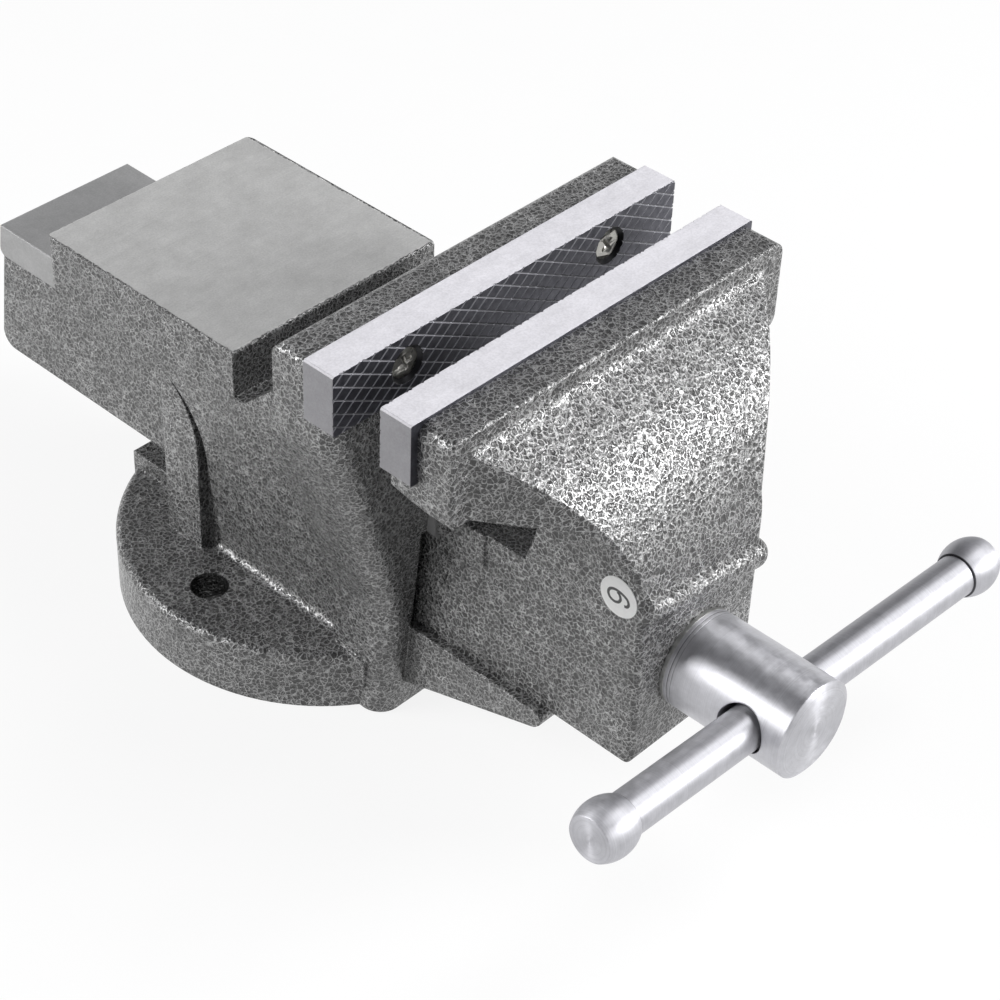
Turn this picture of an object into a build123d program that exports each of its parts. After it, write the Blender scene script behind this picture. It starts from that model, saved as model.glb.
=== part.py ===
from build123d import *
import os
from math import cos, pi, radians, sin, sqrt, tan

# Bench vise: a cast fixed jaw on a round base, and a moving jaw on a sliding bar that a screw draws.
# Millimetres, +Z up, the handle towards -Y and +X to the user's right.
# The origin is the centre of the round base, where it stands on the bench.

# Heights, from the bench upwards
BASE_THICKNESS = 23.0
BAR_RISE = 15.0              # underside of the sliding bar above the top of the base
BAR_HEIGHT = 55.3
SPINDLE_RISE = 28.1          # screw axis above the underside of the bar
ROOF_THICKNESS = 6.1         # casting between the bar and the underside of the anvil
ANVIL_THICKNESS = 21.3
JAW_RISE = 47.7              # jaw plates above the anvil's face

BAR_BOTTOM = BASE_THICKNESS + BAR_RISE
BAR_TOP = BAR_BOTTOM + BAR_HEIGHT
SPINDLE_Z = BAR_BOTTOM + SPINDLE_RISE
ANVIL_BOTTOM = BAR_TOP + ROOF_THICKNESS
ANVIL_TOP = ANVIL_BOTTOM + ANVIL_THICKNESS
JAW_TOP = ANVIL_TOP + JAW_RISE

# Jaw plates and their screws
JAW_WIDTH = 151.0
PLATE_OVERHANG = 0.7         # plates stand out this far beyond the ends of the fixed casting
PLATE_EDGE = 0.6             # chamfer of the plate's upper and lower ends
PLATE_HEIGHT = 22.0
PLATE_THICKNESS = 12.4
PLATE_PROUD = 1.2            # plates stand this far above the castings
JAW_GAP = 19.2               # opening between the plates at rest
JAW_SETOUT = 71.5            # fixed plate's seat ahead of the centre of the base
LEDGE_SETBACK = 2.0          # ledges under the plates stay behind the gripping faces
PLATE_SCREW_INSET = 30.5     # screws from the ends of the plate
PLATE_SCREW_RADIUS = 3.0
PLATE_SCREW_HEAD_RADIUS = 5.2
PLATE_SCREW_SINK = 1.3       # screw heads lie this far below the gripping face
PLATE_SCREW_GRIP = 8.0       # length of each screw in its casting

JAW_HALF = JAW_WIDTH / 2
CASTING_HALF = JAW_HALF - PLATE_OVERHANG
PLATE_SCREW_X = JAW_HALF - PLATE_SCREW_INSET
PLATE_BOTTOM = JAW_TOP - PLATE_HEIGHT
CASTING_TOP = JAW_TOP - PLATE_PROUD
FIXED_SEAT_Y = -JAW_SETOUT
FIXED_FACE_Y = FIXED_SEAT_Y - PLATE_THICKNESS
MOVING_FACE_Y = FIXED_FACE_Y - JAW_GAP
MOVING_SEAT_Y = MOVING_FACE_Y - PLATE_THICKNESS
PLATE_SCREW_Z = JAW_TOP - PLATE_HEIGHT / 2

# Fixed casting: base, column, anvil and tunnel
BASE_INSET = 1.9             # rim of the base within the ends of the jaws
BASE_EDGE = 3.0              # rounding of the upper rim
RECESS_RADIUS = 38.0         # hollow under the base, for the nut's bolt
RECESS_DEPTH = 12.0
MOUNT_HOLE_SETOUT = 16.5     # mounting holes beside the foot of the wall
MOUNT_HOLE_RADIUS = 6.5
FOOT_HALF_WIDTH = 42.0
FOOT_SETBACK = 1.0           # column's foot behind the plate's seat
WAIST_HALF_WIDTH = 44.0
WAIST_RISE = 27.0            # narrowest place of the column above the top of the base
SHOULDER_DROP = 9.5          # column reaches its full width this far below the plate
COLUMN_DEPTH = 22.0          # column behind the plate's seat
COLUMN_KNEE_DROP = 28.0      # upright front of the column starts this far below the plate
COLUMN_EDGE = 8.0            # rounding of the column's front edges
JAW_HEAD_DEPTH = 14.0        # rear jaw behind the plate's seat
ANVIL_WIDTH = 92.0
ANVIL_LENGTH = 94.0
ANVIL_SETBACK = 65.0         # anvil behind the plate's seat
ANVIL_CORNER = 4.0           # rounding of the anvil's rear corners
SLOT_DEPTH = 17.9            # trough ahead of the anvil, below its top
SLOT_FLOOR = 4.5             # flat of the trough, from the anvil to the rise of the jaw's back
WALL_FOOT_HALF_WIDTH = 38.0
WALL_REAR_Y = 13.0
NECK_RADIUS = 34.0           # sweep from the wall up to the underside of the anvil
CHEEK_HALF_WIDTH = 43.5
CHEEK_REAR_Y = 35.4
FOLD_WIDTH = 3.4             # groove between the wall's rear sweep and the cheek
FOLD_DEPTH = 4.5
PAD_HALF_WIDTH = 30.0
PAD_RISE = 6.4
PAD_REAR_Y = 68.0
FLOOR_REAR_Y = -46.0         # the bar's support ends here, and the nut's place begins
TONGUE_HALF_WIDTH = 32.0
TUNNEL_RELIEF = 2.2          # tunnel's sides, beside the bar's painted sides
WALL_SWEEP = 3.0             # hollow sweep from the base up to the wall
TONGUE_LENGTH = 53.0         # tongue that carries the bar, ahead of the plate's gripping face
TONGUE_NOSE = 6.9            # depth of the tongue's tip
TONGUE_ROOT = 26.2           # depth of the tongue where it meets the column

BASE_RADIUS = JAW_HALF - BASE_INSET
MOUNT_HOLE_X = WALL_FOOT_HALF_WIDTH + MOUNT_HOLE_SETOUT
FOOT_FRONT_Y = FIXED_SEAT_Y + FOOT_SETBACK
COLUMN_REAR_Y = FIXED_SEAT_Y + COLUMN_DEPTH
JAW_REAR_Y = FIXED_SEAT_Y + JAW_HEAD_DEPTH
ANVIL_FRONT_Y = FIXED_SEAT_Y + ANVIL_SETBACK
ANVIL_REAR_Y = ANVIL_FRONT_Y + ANVIL_LENGTH
SLOT_BOTTOM = ANVIL_TOP - SLOT_DEPTH
PAD_TOP = BASE_THICKNESS + PAD_RISE

# Moving casting: sliding bar, front box, hood and front jaw
BAR_WIDTH = 59.0             # over the machined rails
RAIL_HEIGHT = 13.0
RAIL_PROUD = 1.0             # rails stand out from the painted sides
TAIL_Y = 136.0
TAIL_DRAFT = 8.0             # degrees; the tail reaches further back below
JAW_DEPTH = 51.0             # front box ahead of the moving plate's seat
FRONT_WALL = 28.0
CHANNEL_HALF_WIDTH = 18.5
CHANNEL_ROOF = 8.0
HEAD_DEPTH = 13.2            # front jaw ahead of its plate's seat
HEAD_INSET = 1.35            # ends of the front jaw within the ends of its plate
HEAD_SHIFT = 1.35            # front jaw and bead are cast this far to the right of the bar
HEAD_DROP = 11.0             # front jaw below its plate
HEAD_EDGE = 0.8              # rounding of the front jaw's front edges
LEDGE_HEIGHT = 6.0           # ledge under the moving plate, at its lip
HOOD_RADIUS = 75.0
HOOD_RISE = 2.0              # hood starts to curve this far above the bar
HOOD_INSET = 9.5             # hood within the ends of the plate, where it meets the front jaw
HOOD_NOSE_HALF_WIDTH = 25.5
HOOD_SWELL = 3.3             # hood's belly outside a straight line from its nose to the jaw
HOOD_BELLY_SETBACK = 18.5    # hood's belly behind the front of the box
WING_RISE = 1.6              # hood's underside above the lower edge of the front jaw
WING_SLOPE = 4.0             # fall of the hood's underside from the jaw to its knee
WING_KNEE_SETBACK = 12.0     # hood's underside drops to its toe from here, behind the front of the box
WING_TOE_RISE = 11.0         # hood's underside above the bar, at the front of the box
NECK_SETBACK = 9.0           # neck's rear face ahead of the plate's seat
NECK_RISE = 18.0             # neck's rear face starts this far above the bar
BEAD_RADIUS = 5.2
BEAD_RISE = 6.0              # bead's left end above the bar
BEAD_FALL = 8.0              # from its left end to its right end
BEAD_SINK = 1.7              # bead's axis behind the front of the box
BEAD_HALF_LENGTH = 24.8
BOX_EDGE = 2.5               # rounding of the front box's upright edges
HOOD_SWEEP = 6.0             # hollow sweep from the hood up to the front jaw

BAR_HALF = BAR_WIDTH / 2
BOX_HALF = BAR_HALF - RAIL_PROUD
BOX_FRONT_Y = MOVING_SEAT_Y - JAW_DEPTH
HEAD_FRONT_Y = MOVING_SEAT_Y - HEAD_DEPTH
HEAD_BOTTOM = PLATE_BOTTOM - HEAD_DROP
HEAD_HALF = JAW_HALF - HEAD_INSET
HOOD_HALF = JAW_HALF - HOOD_INSET
CHANNEL_FRONT_Y = BOX_FRONT_Y + FRONT_WALL
CHANNEL_TOP = BAR_TOP - CHANNEL_ROOF
NECK_REAR_Y = MOVING_SEAT_Y - NECK_SETBACK

# Spindle, its washers, spring and pin
SCREW_RADIUS = 12.0
HUB_RADIUS = 17.0
HUB_LENGTH = 46.0
HUB_CHAMFER = 2.2            # across the hub's front face
HUB_CHAMFER_DEPTH = 1.2      # along the hub
SCREW_TAIL_Y = 122.0
SCREW_POINT = 2.0            # chamfer at the screw's tail
THRUST_WASHER = 1.5
SPRING_WIRE = 3.0
SPRING_RADIUS = 15.3         # to the centre of the wire
SPRING_TURNS = 4
SPRING_SAMPLES = 64          # points on each turn, where its gap is measured
SPRING_PITCH = 5.2
SPRING_WASHER = 2.0
WASHER_RADIUS = 17.0
PIN_RADIUS = 1.9
PIN_REACH = 4.0              # split pin's legs beyond the screw's surface
PIN_EYE_RADIUS = 1.9         # to the centre of the eye's wire
PIN_EYE_WIRE = 0.9           # radius of the eye's wire

HUB_ROOT_Y = BOX_FRONT_Y - THRUST_WASHER
HUB_FRONT_Y = HUB_ROOT_Y - HUB_LENGTH

# Nut and its bolt
NUT_HALF_WIDTH = 16.0
NUT_LENGTH = 45.0
NUT_PLAY = 2.0               # nut behind the end of the bar's support
NUT_WALL = 4.5               # metal above the screw
NUT_CROWN = 2.0              # flat on the nut's round top
BOLT_RADIUS = 6.0
BOLT_HEAD_ACROSS = 19.0
BOLT_HEAD_HEIGHT = 7.5
BOLT_GRIP = 18.0             # length of the bolt in the nut
BOLT_WASHER = 2.5
BOLT_WASHER_RADIUS = 12.0

NUT_FRONT_Y = FLOOR_REAR_Y + NUT_PLAY
NUT_MIDDLE_Y = NUT_FRONT_Y + NUT_LENGTH / 2

# Handle, at the angle at which the screw stands
HANDLE_RADIUS = 7.25
HANDLE_HOLE_RADIUS = 8.5
HANDLE_SETBACK = 16.0        # handle behind the hub's front face
HANDLE_SPAN = 167.0          # between the knobs
HANDLE_OFFSET = 13.0         # handle lies this far to the right of the middle
HANDLE_ANGLE = 3.5           # degrees, right end down
KNOB_LENGTH = 14.2
KNOB_RADIUS = 9.7
KNOB_NECK_RADIUS = 7.75
KNOB_FACE_RADIUS = 7.8
TENON_RADIUS = 5.0
TENON_LENGTH = 10.0

HANDLE_Y = HUB_FRONT_Y + HANDLE_SETBACK

# Round sticker on the front box
STICKER_RADIUS = 7.2
STICKER_THICKNESS = 0.25
STICKER_SETBACK = 9.3        # behind the front of the box
STICKER_RISE = 8.8           # above the bar

# Roundings of the castings, seen from the side or from the front
CASTING_EDGE = 1.5
SHOULDER_ROUND = 3.0         # upper ends of the rear jaw
HEAD_SHOULDER_ROUND = 4.5    # upper ends of the front jaw
HEAD_CORNER_ROUND = 5.0      # lower corners of the front jaw
COLUMN_KNEE_ROUND = 30.0
JAW_BACK_ROUND = 10.0
JAW_TOP_ROUND = 4.0
WAIST_ROUND = 60.0
FLARE_ROUND = 25.0           # where the column reaches its full width
HOOD_BELLY_ROUND = 150.0
WING_KNEE_ROUND = 10.0
SLOT_ROUND = 4.0
FLANK_ROUND = 40.0
TONGUE_TIP_ROUND = 3.0
TONGUE_CHIN_ROUND = 6.0
TAIL_ROUND = 6.0
RAIL_ROUND = 3.0
CHANNEL_ROUND = 8.0

# Fits
SLIDE_FIT = 0.08             # between the bar and each face of its tunnel
TURN_FIT = 0.06              # radial, between the screw and what it turns in
SCREW_FIT = 0.05             # radial, round fixed screws and bolts
HANDLE_FIT = 0.35            # handle rests this far above the bottom of its hole
SPRING_FIT = 0.3             # spring to what it presses on

SPINDLE_AXIS = Axis((0, 0, SPINDLE_Z), (0, 1, 0))


def outline(plane, corners):
    """Closed face on a plane, from corners given as (u, v, rounding)."""
    points = [(u, v) for u, v, rounding in corners]
    line = FilletPolyline(*points, radius=[rounding for u, v, rounding in corners], close=True)
    return make_face(plane * line)


def both_sides(corners):
    """Outline that is the same on the left, from the corners of its right half."""
    return corners + [(-u, v, rounding) for u, v, rounding in reversed(corners)]


def across(corners, half_width):
    """Solid from a side outline in Y and Z, as wide to the left as to the right."""
    return extrude(outline(Plane.YZ, corners), half_width, both=True)


def along(corners, front_y, rear_y):
    """Solid from a front outline in X and Z."""
    plane = Plane((0, front_y, 0), x_dir=(1, 0, 0), z_dir=(0, -1, 0))
    return extrude(outline(plane, corners), rear_y - front_y, dir=(0, 1, 0))


def upright(corners, bottom, top):
    """Solid from a plan outline in X and Y."""
    return extrude(outline(Plane.XY.offset(bottom), corners), top - bottom)


def block(half_width, front_y, rear_y, bottom, top):
    """Plain block, as wide to the left as to the right."""
    corners = [(front_y, bottom, 0), (rear_y, bottom, 0), (rear_y, top, 0), (front_y, top, 0)]
    return across(corners, half_width)


def turned(corners):
    """Solid turned about the screw's axis, from corners (y, radius, rounding)."""
    plane = Plane((0, 0, SPINDLE_Z), x_dir=(0, 1, 0), z_dir=(1, 0, 0))
    return revolve(outline(plane, corners), SPINDLE_AXIS)


def ring(front_y, rear_y, inner, outer):
    """Corners of a plain ring, or of a disc, about the screw's axis."""
    return [(front_y, inner, 0), (front_y, outer, 0), (rear_y, outer, 0), (rear_y, inner, 0)]


def rod(radius, start, direction, length):
    """Round rod from a point along a direction."""
    plane = Plane(start, z_dir=direction)
    return extrude(plane * Circle(radius), length)


def base_disc():
    disc = extrude(Plane.XY * Circle(BASE_RADIUS), BASE_THICKNESS)
    return fillet(disc.edges().group_by(Axis.Z)[-1], BASE_EDGE)


def column():
    """Front of the fixed casting: foot, waist, and the jaw with the ledge for its plate."""
    ledge_y = FIXED_FACE_Y + LEDGE_SETBACK
    knee_z = PLATE_BOTTOM - COLUMN_KNEE_DROP
    side = [
        (FOOT_FRONT_Y, 0, 0),
        (ledge_y, knee_z, COLUMN_KNEE_ROUND),
        (ledge_y, PLATE_BOTTOM, 0),
        (FIXED_SEAT_Y, PLATE_BOTTOM, 0),
        (FIXED_SEAT_Y, CASTING_TOP, 0),
        (JAW_REAR_Y, CASTING_TOP, JAW_TOP_ROUND),
        (JAW_REAR_Y, PLATE_BOTTOM, JAW_BACK_ROUND),
        (COLUMN_REAR_Y, knee_z, JAW_BACK_ROUND),
        (COLUMN_REAR_Y, 0, 0),
    ]
    front = both_sides([
        (FOOT_HALF_WIDTH, 0, 0),
        (WAIST_HALF_WIDTH, BASE_THICKNESS + WAIST_RISE, WAIST_ROUND),
        (CASTING_HALF, PLATE_BOTTOM - SHOULDER_DROP, FLARE_ROUND),
        (CASTING_HALF, CASTING_TOP, SHOULDER_ROUND),
    ])
    body = across(side, JAW_WIDTH) & along(front, FIXED_FACE_Y, COLUMN_REAR_Y + COLUMN_EDGE)
    ahead = body.edges().filter_by(lambda edge: edge.center().Y < FIXED_SEAT_Y)
    rising = ahead.filter_by(lambda edge: edge.bounding_box().size.Z > COLUMN_EDGE)
    return fillet(rising, COLUMN_EDGE)


def anvil_and_walls():
    """Middle of the fixed casting, with the anvil that overhangs the bar behind it."""
    inside_y = JAW_REAR_Y - JAW_HEAD_DEPTH / 2
    buried = BASE_THICKNESS / 2
    side = [
        (inside_y, buried, 0),
        (inside_y, PLATE_BOTTOM, 0),
        (JAW_REAR_Y, PLATE_BOTTOM, 0),
        (ANVIL_FRONT_Y - SLOT_FLOOR, SLOT_BOTTOM, SLOT_ROUND),
        (ANVIL_FRONT_Y, SLOT_BOTTOM, 0),
        (ANVIL_FRONT_Y, ANVIL_TOP, CASTING_EDGE),
        (ANVIL_REAR_Y, ANVIL_TOP, CASTING_EDGE),
        (ANVIL_REAR_Y, ANVIL_BOTTOM, WALL_SWEEP),
        (WALL_REAR_Y, ANVIL_BOTTOM, NECK_RADIUS),
        (WALL_REAR_Y, buried, 0),
    ]
    front = both_sides([
        (WALL_FOOT_HALF_WIDTH + 2 * WALL_SWEEP, buried, 0),
        (WALL_FOOT_HALF_WIDTH + 2 * WALL_SWEEP, BASE_THICKNESS, 0),
        (WALL_FOOT_HALF_WIDTH, BASE_THICKNESS, WALL_SWEEP),
        (ANVIL_WIDTH / 2, ANVIL_BOTTOM, FLANK_ROUND),
        (ANVIL_WIDTH / 2, JAW_TOP, 0),
    ])
    plan = both_sides([(ANVIL_WIDTH / 2, inside_y, 0), (ANVIL_WIDTH / 2, ANVIL_REAR_Y, ANVIL_CORNER)])
    return across(side, ANVIL_WIDTH) & along(front, inside_y, ANVIL_REAR_Y) & upright(plan, buried, JAW_TOP)


def cheeks():
    """Legs under the anvil, parted from the wall by a groove that follows its rear sweep."""
    buried = BASE_THICKNESS / 2
    front_y = WALL_REAR_Y + FOLD_WIDTH
    top = ANVIL_BOTTOM - FOLD_WIDTH
    side = [
        (front_y, buried, 0),
        (front_y, top, NECK_RADIUS - FOLD_WIDTH),
        (ANVIL_REAR_Y, top, 0),
        (ANVIL_REAR_Y, buried, 0),
    ]
    plan = both_sides([(CHEEK_HALF_WIDTH, front_y, 0), (CHEEK_HALF_WIDTH, CHEEK_REAR_Y, WALL_SWEEP)])
    legs = across(side, CHEEK_HALF_WIDTH) & upright(plan, buried, top)
    return legs + block(CHEEK_HALF_WIDTH - FOLD_DEPTH, WALL_REAR_Y, CHEEK_REAR_Y, buried, ANVIL_BOTTOM)


def tongue():
    """Wedge ahead of the column that carries the bar."""
    top = BAR_BOTTOM - SLIDE_FIT
    tip_y = FIXED_FACE_Y - TONGUE_LENGTH
    side = [
        (FLOOR_REAR_Y, top, 0),
        (tip_y, top, TONGUE_TIP_ROUND),
        (tip_y + TONGUE_NOSE, top - TONGUE_NOSE, TONGUE_CHIN_ROUND),
        (FIXED_SEAT_Y, top - TONGUE_ROOT, 0),
        (FLOOR_REAR_Y, top - TONGUE_ROOT, 0),
    ]
    return across(side, TONGUE_HALF_WIDTH)


def tunnel():
    """Space for the bar: close round its rails, wider below them, and deeper over the nut's place."""
    half = BAR_HALF + SLIDE_FIT
    roof = BAR_TOP + SLIDE_FIT
    step = BAR_TOP - RAIL_HEIGHT - SLIDE_FIT
    tip_y = FIXED_FACE_Y - TONGUE_LENGTH
    guide = block(half, tip_y, ANVIL_REAR_Y, step, roof)
    beside = block(half + TUNNEL_RELIEF, tip_y, ANVIL_REAR_Y, BAR_BOTTOM - SLIDE_FIT, step)
    return guide + beside + block(half, FLOOR_REAR_Y, ANVIL_REAR_Y, PAD_TOP, roof)


def screw_holes(seat_y, into):
    """Tapped holes for a plate's screws, from the seat into the casting."""
    radius = PLATE_SCREW_RADIUS + SCREW_FIT
    depth = PLATE_SCREW_GRIP + 2 * SCREW_FIT
    places = [(side * PLATE_SCREW_X, seat_y, PLATE_SCREW_Z) for side in (-1, 1)]
    return [rod(radius, place, (0, into, 0), depth) for place in places]


def fixed_jaw_body():
    pad = block(PAD_HALF_WIDTH, FLOOR_REAR_Y, PAD_REAR_Y, BASE_THICKNESS / 2, PAD_TOP)
    body = base_disc() + column() + anvil_and_walls() + cheeks() + tongue() + pad
    body -= tunnel()
    body -= extrude(Plane.XY * Circle(RECESS_RADIUS), RECESS_DEPTH)
    body -= rod(BOLT_RADIUS + SCREW_FIT, (0, NUT_MIDDLE_Y, 0), (0, 0, 1), PAD_TOP)
    for side in (-1, 1):
        body -= rod(MOUNT_HOLE_RADIUS, (side * MOUNT_HOLE_X, 0, 0), (0, 0, 1), BASE_THICKNESS)
    for hole in screw_holes(FIXED_SEAT_Y, 1):
        body -= hole
    return body


def countersunk(face_point, into, length, play, sink):
    """Countersunk screw, or with play the hole that it goes in, from a depth below a gripping face."""
    x, face_y, z = face_point
    shank = PLATE_SCREW_RADIUS + play
    mouth = PLATE_SCREW_HEAD_RADIUS + PLATE_SCREW_SINK + play
    corners = [(sink, 0), (sink, mouth - sink), (mouth - shank, shank), (length, shank), (length, 0)]
    plane = Plane((x, face_y, z), x_dir=(0, into, 0), z_dir=(1, 0, 0))
    face = make_face(plane * Polyline(*corners, close=True))
    return revolve(face, Axis((x, face_y, z), (0, 1, 0)))


def jaw_plate(face_y, into):
    """Hardened plate with two sunk screw holes; its gripping face lies at face_y."""
    seat_y = face_y + into * PLATE_THICKNESS
    front_y, rear_y = min(face_y, seat_y), max(face_y, seat_y)
    plate = block(JAW_HALF, front_y, rear_y, PLATE_BOTTOM, JAW_TOP)
    plate = chamfer(plate.edges().filter_by(Axis.Y), PLATE_EDGE)
    for side in (-1, 1):
        place = (side * PLATE_SCREW_X, face_y, PLATE_SCREW_Z)
        plate -= countersunk(place, into, PLATE_THICKNESS, SCREW_FIT, 0)
    return plate


def plate_screws(face_y, into):
    """Two screws that hold a plate on its seat."""
    length = PLATE_THICKNESS + PLATE_SCREW_GRIP
    places = [(side * PLATE_SCREW_X, face_y, PLATE_SCREW_Z) for side in (-1, 1)]
    return Compound(children=[countersunk(place, into, length, 0, PLATE_SCREW_SINK) for place in places])


def tail_y(z):
    """End of the bar at a height."""
    return TAIL_Y + (BAR_TOP - z) * tan(radians(TAIL_DRAFT))


def sliding_bar():
    """Bar from the front box to its tail, without its rails."""
    side = [
        (BOX_FRONT_Y, BAR_BOTTOM, CASTING_EDGE),
        (tail_y(BAR_BOTTOM) - RAIL_PROUD, BAR_BOTTOM, TAIL_ROUND),
        (tail_y(BAR_TOP) - RAIL_PROUD, BAR_TOP, 0),
        (BOX_FRONT_Y, BAR_TOP, 0),
    ]
    return across(side, BOX_HALF)


def rails():
    """Machined top of the bar, which runs in the tunnel."""
    bottom = BAR_TOP - RAIL_HEIGHT
    side = [
        (MOVING_FACE_Y, bottom, 0),
        (tail_y(bottom), bottom, RAIL_ROUND),
        (TAIL_Y, BAR_TOP, 0),
        (MOVING_FACE_Y, BAR_TOP, 0),
    ]
    return across(side, BAR_HALF)


def channel():
    """Hollow of the bar, open below and at the tail."""
    corners = both_sides([(CHANNEL_HALF_WIDTH, 0, 0), (CHANNEL_HALF_WIDTH, CHANNEL_TOP, CHANNEL_ROUND)])
    return along(corners, CHANNEL_FRONT_Y, tail_y(0))


def hood_side():
    """Side outline of the hood and of the neck under it, down to the bar."""
    start_z = BAR_TOP + HOOD_RISE
    reach = BOX_FRONT_Y + HOOD_RADIUS - HEAD_FRONT_Y
    meet_z = start_z + sqrt(HOOD_RADIUS**2 - reach**2)
    inside_z = CASTING_TOP - HEAD_EDGE
    curve = TangentArc((BOX_FRONT_Y, start_z), (HEAD_FRONT_Y, meet_z), tangent=(0, 1))
    rest = Polyline(
        (HEAD_FRONT_Y, meet_z),
        (HEAD_FRONT_Y, inside_z),
        (NECK_REAR_Y, inside_z),
        (NECK_REAR_Y, BAR_TOP + NECK_RISE),
        (MOVING_SEAT_Y, BAR_TOP - RAIL_HEIGHT),
        (BOX_FRONT_Y, BAR_TOP - RAIL_HEIGHT),
        (BOX_FRONT_Y, start_z),
    )
    face = make_face(curve + rest)
    meeting = face.vertices().sort_by_distance((HEAD_FRONT_Y, meet_z, 0))[0]
    return Plane.YZ * fillet(meeting, HOOD_SWEEP)


def hood():
    """Wings of the hood, wide at the jaw and narrow at the front, where they run out in the box."""
    share = HOOD_BELLY_SETBACK / (HEAD_FRONT_Y - BOX_FRONT_Y)
    straight = HOOD_NOSE_HALF_WIDTH + share * (HOOD_HALF - HOOD_NOSE_HALF_WIDTH)
    plan = both_sides([
        (HOOD_NOSE_HALF_WIDTH, BOX_FRONT_Y, 0),
        (straight + HOOD_SWELL, BOX_FRONT_Y + HOOD_BELLY_SETBACK, HOOD_BELLY_ROUND),
        (HOOD_HALF, HEAD_FRONT_Y, 0),
        (HOOD_HALF, NECK_REAR_Y, 0),
    ])
    wing_z = HEAD_BOTTOM + WING_RISE
    under = [
        (BOX_FRONT_Y, BAR_TOP + WING_TOE_RISE, 0),
        (BOX_FRONT_Y + WING_KNEE_SETBACK, wing_z - WING_SLOPE, WING_KNEE_ROUND),
        (HEAD_FRONT_Y, wing_z, 0),
        (NECK_REAR_Y, wing_z, 0),
        (NECK_REAR_Y, JAW_TOP, 0),
        (BOX_FRONT_Y, JAW_TOP, 0),
    ]
    wings = extrude(hood_side(), JAW_HALF, both=True)
    return wings & upright(plan, BAR_BOTTOM, JAW_TOP) & across(under, JAW_HALF)


def front_jaw():
    """Head of the moving jaw, with the ledge under its plate."""
    ledge_y = MOVING_FACE_Y - LEDGE_SETBACK
    ends = both_sides([
        (HEAD_HALF, HEAD_BOTTOM - HEAD_EDGE, HEAD_CORNER_ROUND),
        (HEAD_HALF, CASTING_TOP, HEAD_SHOULDER_ROUND),
    ])
    underside = [
        (HEAD_FRONT_Y, BAR_BOTTOM, 0),
        (ledge_y, BAR_BOTTOM, 0),
        (ledge_y, PLATE_BOTTOM - LEDGE_HEIGHT, 0),
        (HEAD_FRONT_Y, HEAD_BOTTOM, 0),
    ]
    head = along(ends, HEAD_FRONT_Y, ledge_y) - across(underside, JAW_WIDTH)
    head -= block(JAW_WIDTH, MOVING_SEAT_Y, FIXED_FACE_Y, PLATE_BOTTOM, JAW_TOP)
    return Pos(X=HEAD_SHIFT) * fillet(head.edges().group_by(Axis.Y)[0], HEAD_EDGE)


def bead():
    """Rounded bead across the front of the box, under the hood, lower on the right."""
    y, z = BOX_FRONT_Y + BEAD_SINK, BAR_TOP + BEAD_RISE
    left = Vector(HEAD_SHIFT - BEAD_HALF_LENGTH, y, z)
    right = Vector(HEAD_SHIFT + BEAD_HALF_LENGTH, y, z - BEAD_FALL)
    bar = rod(BEAD_RADIUS, left, right - left, (right - left).length)
    return bar + [Pos(end) * Sphere(BEAD_RADIUS) for end in (left, right)]


def moving_jaw_body():
    plan = both_sides([(BOX_HALF, BOX_FRONT_Y, BOX_EDGE), (BOX_HALF, tail_y(0), 0)])
    box = (sliding_bar() + extrude(hood_side(), BOX_HALF, both=True)) & upright(plan, 0, JAW_TOP)
    body = box + rails() + hood() + front_jaw() + bead()
    body -= channel()
    body -= turned(ring(BOX_FRONT_Y, CHANNEL_FRONT_Y, 0, SCREW_RADIUS + TURN_FIT))
    for hole in screw_holes(MOVING_SEAT_Y, -1):
        body -= hole
    return body


def size_sticker():
    place = (-BOX_HALF, BOX_FRONT_Y + STICKER_SETBACK, BAR_TOP + STICKER_RISE)
    return rod(STICKER_RADIUS, place, (-1, 0, 0), STICKER_THICKNESS)


def spindle():
    """Screw with the hub that the handle goes through."""
    body = turned([
        (HUB_FRONT_Y, 0, 0),
        (HUB_FRONT_Y, HUB_RADIUS - HUB_CHAMFER, 0),
        (HUB_FRONT_Y + HUB_CHAMFER_DEPTH, HUB_RADIUS, 0),
        (HUB_ROOT_Y, HUB_RADIUS, 0),
        (HUB_ROOT_Y, SCREW_RADIUS, 0),
        (SCREW_TAIL_Y - SCREW_POINT, SCREW_RADIUS, 0),
        (SCREW_TAIL_Y, SCREW_RADIUS - SCREW_POINT, 0),
        (SCREW_TAIL_Y, 0, 0),
    ])
    cross = rod(HANDLE_HOLE_RADIUS, (-HUB_RADIUS, HANDLE_Y, SPINDLE_Z), (1, 0, 0), 2 * HUB_RADIUS)
    body -= cross.rotate(SPINDLE_AXIS, HANDLE_ANGLE)
    hole = PIN_RADIUS + SCREW_FIT
    return body - rod(hole, (-SCREW_RADIUS, pin_y(), SPINDLE_Z), (1, 0, 0), 2 * SCREW_RADIUS)


def thrust_washer():
    return turned(ring(HUB_ROOT_Y, BOX_FRONT_Y - TURN_FIT, SCREW_RADIUS + TURN_FIT, WASHER_RADIUS))


def spring_length():
    return SPRING_TURNS * SPRING_PITCH + SPRING_WIRE


def spring_washer_y():
    return CHANNEL_FRONT_Y + spring_length() + 2 * SPRING_FIT


def pin_y():
    return spring_washer_y() + SPRING_WASHER + SCREW_FIT + PIN_RADIUS


def helix(turn):
    """Point and direction on the spring's centre line after some turns."""
    angle = 2 * pi * turn
    start_y = CHANNEL_FRONT_Y + SPRING_FIT + SPRING_WIRE / 2
    point = Vector(
        SPRING_RADIUS * cos(angle),
        start_y + SPRING_PITCH * turn,
        SPINDLE_Z + SPRING_RADIUS * sin(angle),
    )
    around = 2 * pi * SPRING_RADIUS
    direction = Vector(-around * sin(angle), SPRING_PITCH, around * cos(angle)).normalized()
    return point, direction


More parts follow.
